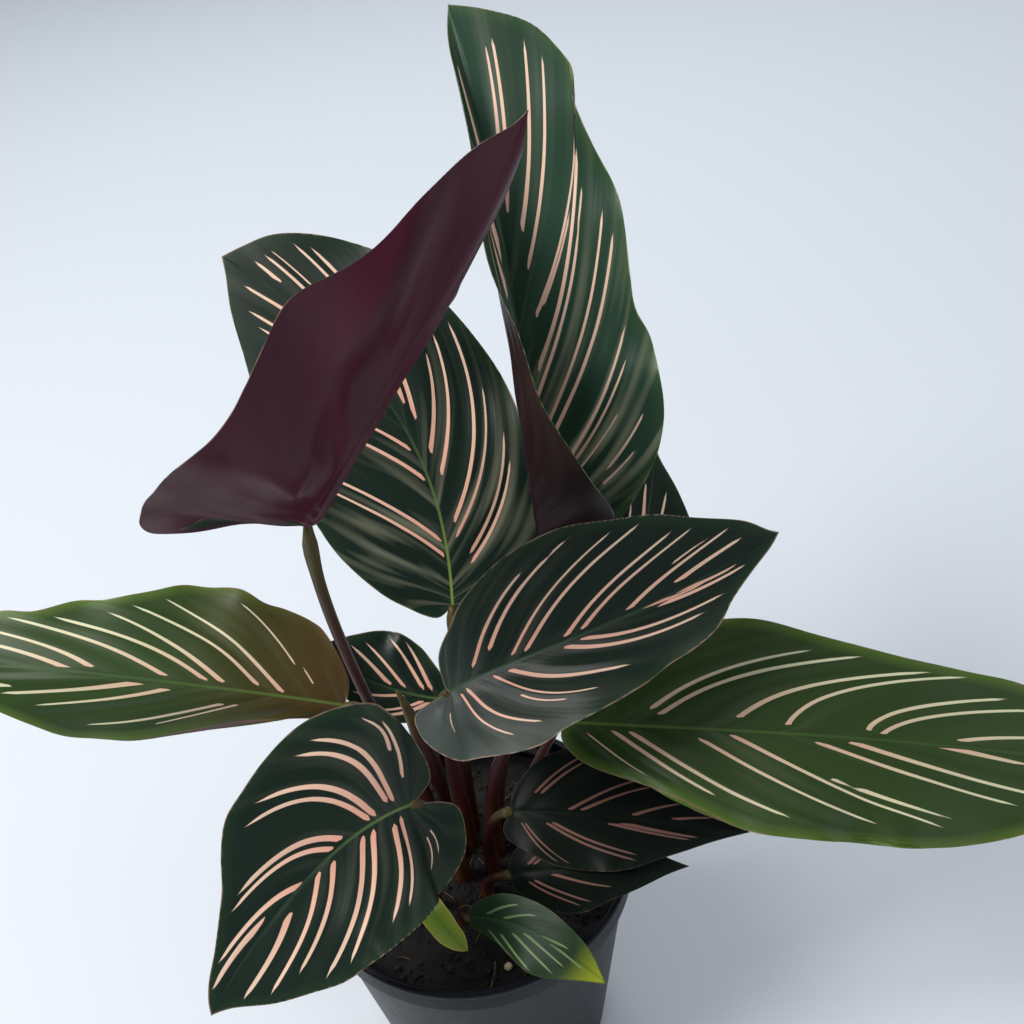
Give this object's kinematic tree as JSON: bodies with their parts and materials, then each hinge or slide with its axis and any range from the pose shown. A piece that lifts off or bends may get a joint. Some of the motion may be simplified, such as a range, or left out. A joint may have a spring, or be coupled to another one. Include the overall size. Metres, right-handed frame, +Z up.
{
  "type": "potted pinstripe calathea",
  "caption": "Pinstripe calathea: dark leaves with fine pink stripes and maroon undersides on slim stalks, growing from peat in a round nursery pot.",
  "frame": {"origin": "centre of the pot's flat foot, on the surface it stands on", "axes": "+Z up; -Y towards the side the plant is seen from, +X to the right of that view"},
  "size_m": [0.3561, 0.1702, 0.3211],
  "materials": {
    "pot_plastic": "semi-gloss charcoal polypropylene",
    "peat": "matt dark peat",
    "dark_leaf": "satin deep green leaf with pink stripes",
    "mid_leaf": "satin mid green leaf with cream stripes",
    "young_leaf": "satin yellow-green young leaf",
    "stalk": "satin maroon-brown leaf stalk",
    "bead": "smooth cream granule"
  },
  "bodies": {
    "root": {"pot": "pot_plastic", "soil": "peat", "feed_bead": "bead", "rolled_leaf": "stalk", "back_right_upright_blade": "dark_leaf", "back_right_upright_stalk": "stalk", "left_upright_blade": "dark_leaf", "left_upright_stalk": "stalk", "back_left_blade": "dark_leaf", "back_left_stalk": "stalk", "back_right_low_blade": "dark_leaf", "back_right_low_stalk": "stalk", "front_centre_blade": "dark_leaf", "front_centre_stalk": "stalk", "right_long_blade": "mid_leaf", "right_long_stalk": "stalk", "left_long_blade": "mid_leaf", "left_long_stalk": "stalk", "front_left_blade": "dark_leaf", "front_left_stalk": "stalk", "back_small_blade": "dark_leaf", "back_small_stalk": "stalk", "front_right_upper_blade": "dark_leaf", "front_right_upper_stalk": "stalk", "front_right_lower_blade": "dark_leaf", "front_right_lower_stalk": "stalk", "front_small_blade": "dark_leaf", "front_small_stalk": "stalk", "front_young_blade": "young_leaf", "front_young_stalk": "stalk"}
  },
  "joints": []
}
